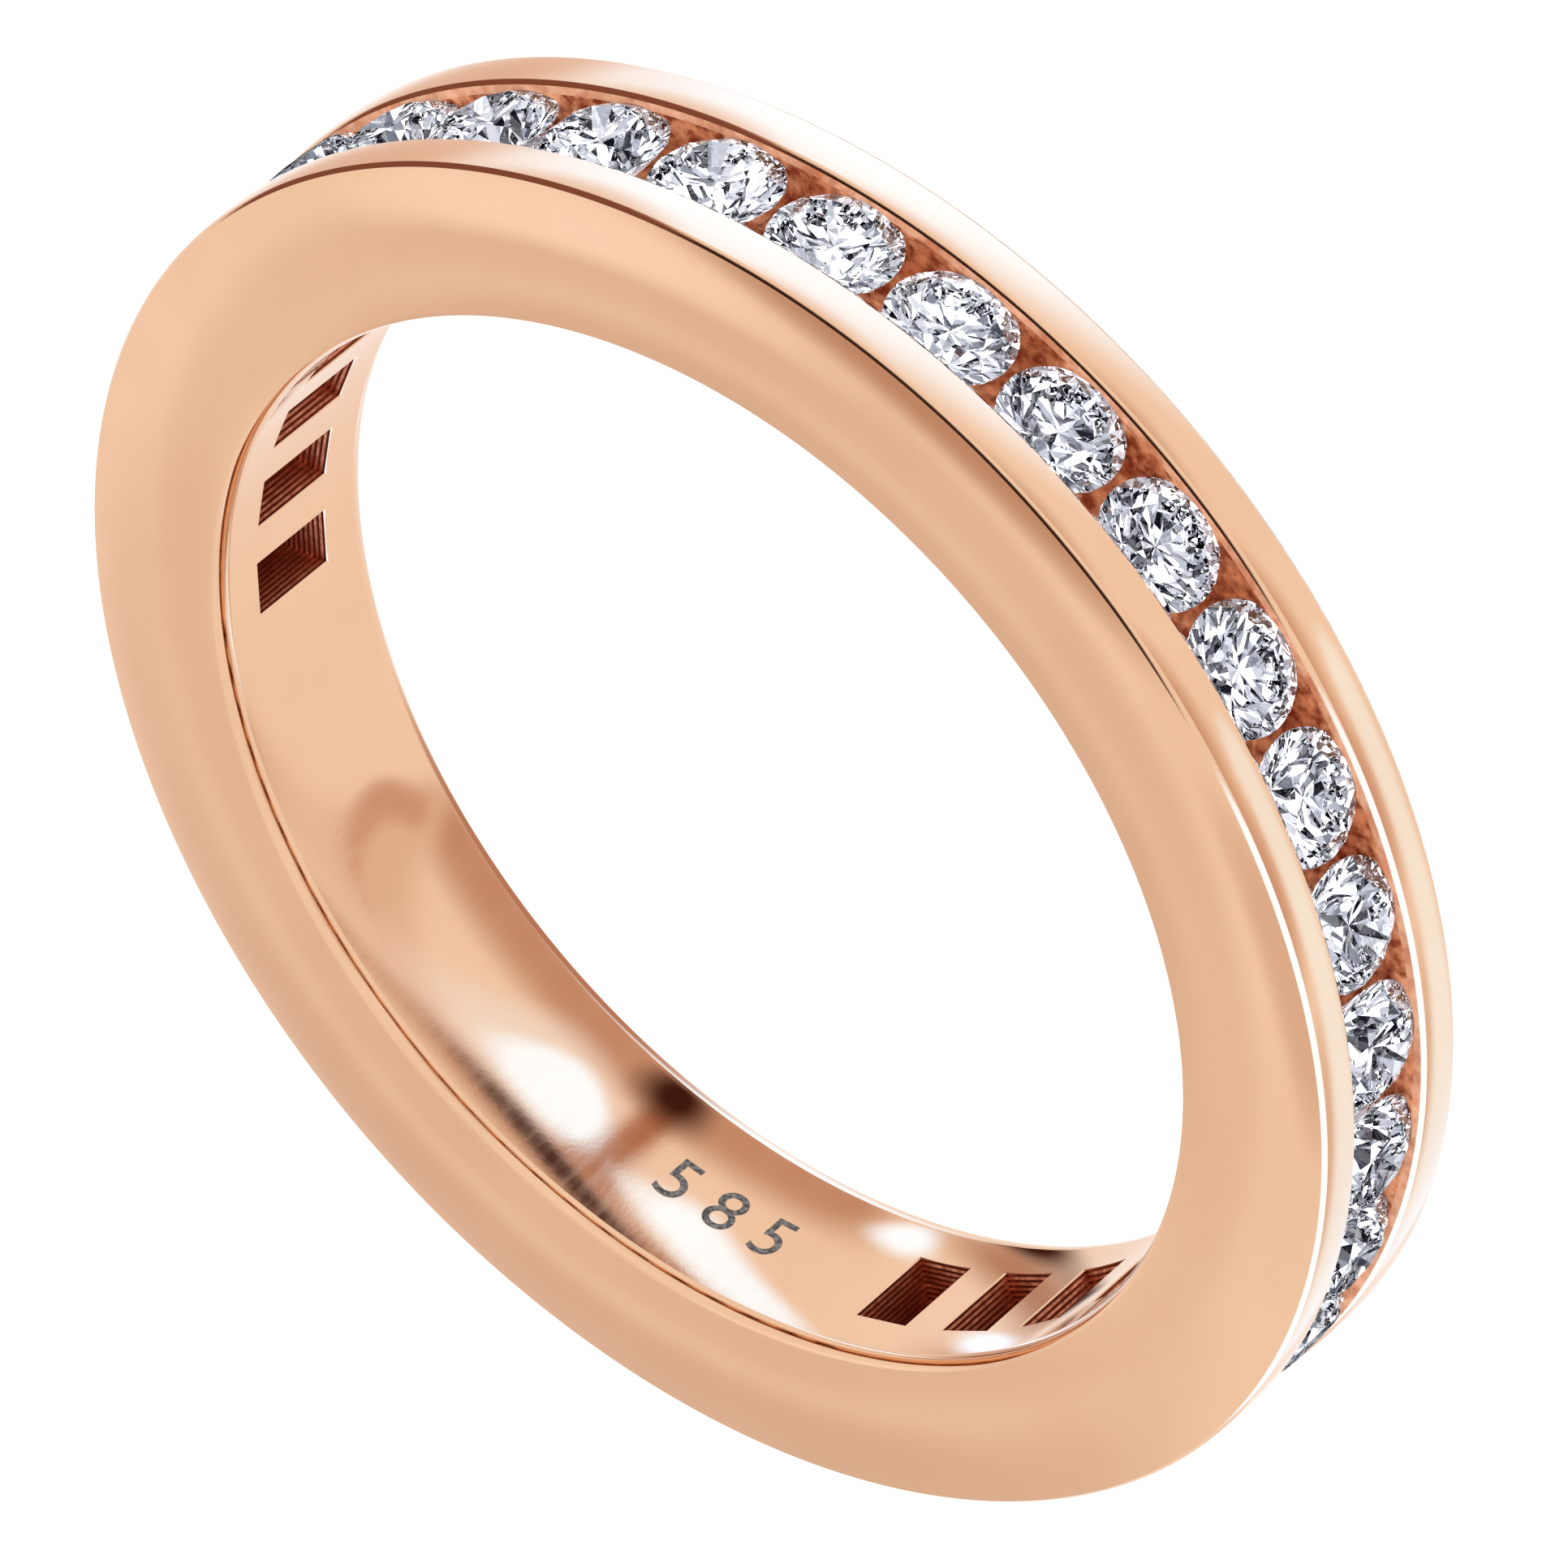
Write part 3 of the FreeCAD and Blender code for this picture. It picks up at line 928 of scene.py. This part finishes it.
def painted_directions(nodes):
    """The colour of the studio in every direction."""
    direction = nodes.add("VectorMath", Vector=nodes.add("TexCoord").outputs["Object"])
    direction.operation = "NORMALIZE"
    layers = []
    for turn, lean, inner, outer, colour in STUDIO_PATCHES:
        dot = dot_product(nodes, direction.outputs["Vector"], mirrored_direction(turn, lean))
        full, none = math.cos(math.radians(inner)), math.cos(math.radians(outer))
        layers.append((colour, soft_step(nodes, dot, full, none)))
    return painted(nodes, MAIN_LIGHT, layers)


def dot_product(nodes, vector, fixed):
    dot = nodes.add("VectorMath")
    dot.operation = "DOT_PRODUCT"
    nodes.fill(dot.inputs[0], vector)
    nodes.fill(dot.inputs[1], fixed)
    return dot.outputs["Value"]


def sparkle(nodes):
    """What the stones let through of the studio: many small lamps, papers and flags."""
    direction = nodes.add("TexCoord").outputs["Generated"]
    cells = nodes.add("TexNoise", Vector=direction, Scale=SPARKLE_SCALE, Detail=1.0)
    tone = nodes.add("ValToRGB", Fac=cells.outputs["Fac"])
    ramp = tone.color_ramp
    for _ in range(len(SPARKLE_STEPS) - 2):
        ramp.elements.new(0.5)
    for element, (position, colour) in zip(ramp.elements, SPARKLE_STEPS):
        element.position = position
        element.color = (*colour, 1)
    return tone.outputs["Color"]


def studio_world():
    """The light of the stones and of unpolished gold; polished gold has its own dome."""
    world = bpy.data.worlds.new("studio")
    bpy.context.scene.world = world
    world.use_nodes = True
    nodes = Nodes(world.node_tree)
    path = nodes.add("LightPath")
    stones = mixed(nodes, path.outputs["Is Transmission Ray"], REST_LIGHT, sparkle(nodes))
    everything = mixed(nodes, path.outputs["Diffuse Depth"], stones, FILL_LIGHT)
    nodes.set(world.node_tree.nodes["Background"], "Color", everything)


def light_material(name):
    """An empty material for a thing that only gives light."""
    material = bpy.data.materials.new(name)
    material.use_nodes = True
    material.node_tree.nodes.clear()
    material.cycles.emission_sampling = "NONE"
    return material, Nodes(material.node_tree)


def gold_dome(band):
    """A wide clear dome of papers, lamps and flags that only the gold mirrors."""
    bpy.ops.mesh.primitive_uv_sphere_add(segments=64, ring_count=32, radius=DOME_RADIUS)
    dome = bpy.context.object
    dome.name = "gold_dome"
    material, nodes = light_material("gold_dome")
    light = nodes.add("Emission", Color=painted_directions(nodes))
    clear = nodes.add("BsdfTransparent")
    both = nodes.add("AddShader")
    nodes.fill(both.inputs[0], light.outputs["Emission"])
    nodes.fill(both.inputs[1], clear.outputs["BSDF"])
    nodes.add("OutputMaterial", Surface=both.outputs["Shader"])
    dome.data.materials.append(material)
    hidden_from(dome, "camera", "diffuse", "transmission", "shadow")
    lit = bpy.data.collections.new("lit_by_gold_dome")
    lit.objects.link(band)
    dome.light_linking.receiver_collection = lit


def bore_card():
    """A card lying inside the ring, which only the polished bore mirrors."""
    turns = [2 * math.pi * side / CARD_SIDES for side in range(CARD_SIDES)]
    mesh = bpy.data.meshes.new("bore_card")
    points = [polar(CARD_RADIUS, turn, CARD_HEIGHT) for turn in turns]
    mesh.from_pydata(points, [], [tuple(range(CARD_SIDES))])
    mesh.transform(Matrix.Scale(METRES, 4))
    card = add_object("bore_card", mesh)
    material, nodes = light_material("bore_card")
    place = nodes.add("TexCoord").outputs["Object"]
    layers = [(colour, card_patch(nodes, place, *mirrored_oval(middle, half), softness))
              for middle, half, softness, colour in BORE_PATCHES]
    layers += [(colour, card_patch(nodes, place, *turned_oval(centre, half, turn), softness))
               for centre, half, turn, softness, colour in FOLDED_PATCHES]
    light = nodes.add("Emission", Color=painted(nodes, MAIN_LIGHT, layers))
    nodes.add("OutputMaterial", Surface=light.outputs["Emission"])
    mesh.materials.append(material)
    hidden_from(card, "camera", "diffuse", "transmission", "shadow")


def mirrored_oval(middle, half):
    """The centre and two half axes of what the bore mirrors round a turn and height."""
    turn, height = middle
    half_turn, half_height = half
    centre = mirrored_place(turn, height)
    along = mirrored_place(turn + half_turn / 2, height)
    along -= mirrored_place(turn - half_turn / 2, height)
    return centre, along, mirrored_place(turn, height + half_height) - centre


def turned_oval(centre, half, turn):
    """The centre and two half axes of an oval of the card, turned by degrees."""
    a = math.radians(turn)
    along = half[0] * np.array([math.cos(a), math.sin(a)])
    across = half[1] * np.array([-math.sin(a), math.cos(a)])
    return np.array(centre), along, across


def card_patch(nodes, place, centre, along, across, softness):
    """1 inside an oval patch of the card and 0 outside it."""
    rows = np.linalg.inv(np.stack([along, across], 1)) / METRES
    moved = nodes.add("VectorMath")
    moved.operation = "SUBTRACT"
    nodes.fill(moved.inputs[0], place)
    nodes.fill(moved.inputs[1], (*(centre * METRES), 0))
    flat = nodes.add("CombineXYZ")
    for row, axis in zip(rows, "XY"):
        nodes.set(flat, axis, dot_product(nodes, moved.outputs["Vector"], (*row, 0)))
    length = nodes.add("VectorMath", Vector=flat.outputs["Vector"])
    length.operation = "LENGTH"
    return soft_step(nodes, length.outputs["Value"], 1 - softness, 1 + softness)


def camera_back():
    """From what the camera looks at, back to the camera."""
    azimuth, elevation = math.radians(CAMERA_AZIMUTH), math.radians(CAMERA_ELEVATION)
    level = math.cos(elevation)
    return Vector((math.sin(azimuth) * level, -math.cos(azimuth) * level, math.sin(elevation)))


def view_direction():
    """The way the camera looks."""
    return -camera_back()


def make_camera():
    """The camera at the photograph's viewing angle."""
    data = bpy.data.cameras.new("camera")
    camera = add_object("camera", data)
    data.sensor_width = SENSOR_WIDTH
    data.lens = CAMERA_LENS
    data.clip_start = 0.01
    data.clip_end = 100
    azimuth, roll = math.radians(CAMERA_AZIMUTH), math.radians(CAMERA_ROLL)
    back = camera_back()
    right = Vector((math.cos(azimuth), math.sin(azimuth), 0))
    up = back.cross(right)
    turned_right = right * math.cos(roll) + up * math.sin(roll)
    turned_up = up * math.cos(roll) - right * math.sin(roll)
    columns = Matrix((turned_right, turned_up, back)).transposed()
    place = Vector(CAMERA_AIM) + back * CAMERA_DISTANCE
    camera.matrix_world = Matrix.Translation(place) @ columns.to_4x4()
    bpy.context.scene.camera = camera


def render_looks():
    """Plain display colours, and enough bounces for light inside the stones."""
    scene = bpy.context.scene
    scene.view_settings.view_transform = "Standard"
    scene.cycles.max_bounces = 24
    scene.cycles.glossy_bounces = 16
    scene.cycles.transmission_bounces = 20
    scene.cycles.caustics_reflective = True
    scene.cycles.caustics_refractive = True
    scene.cycles.transparent_max_bounces = 16


make_camera()
render_looks()
studio_world()
bore_card()
white_floor()
backdrop()
band = make_band(polished_gold(), cast_gold(), window_gold_painted_shade(), satin_gold())
gold_dome(band)
make_mark(etched_gold())
clear = diamond()
for name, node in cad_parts.items():
    if name.startswith("diamond"):
        for slot in node.material_slots:
            slot.material = clear
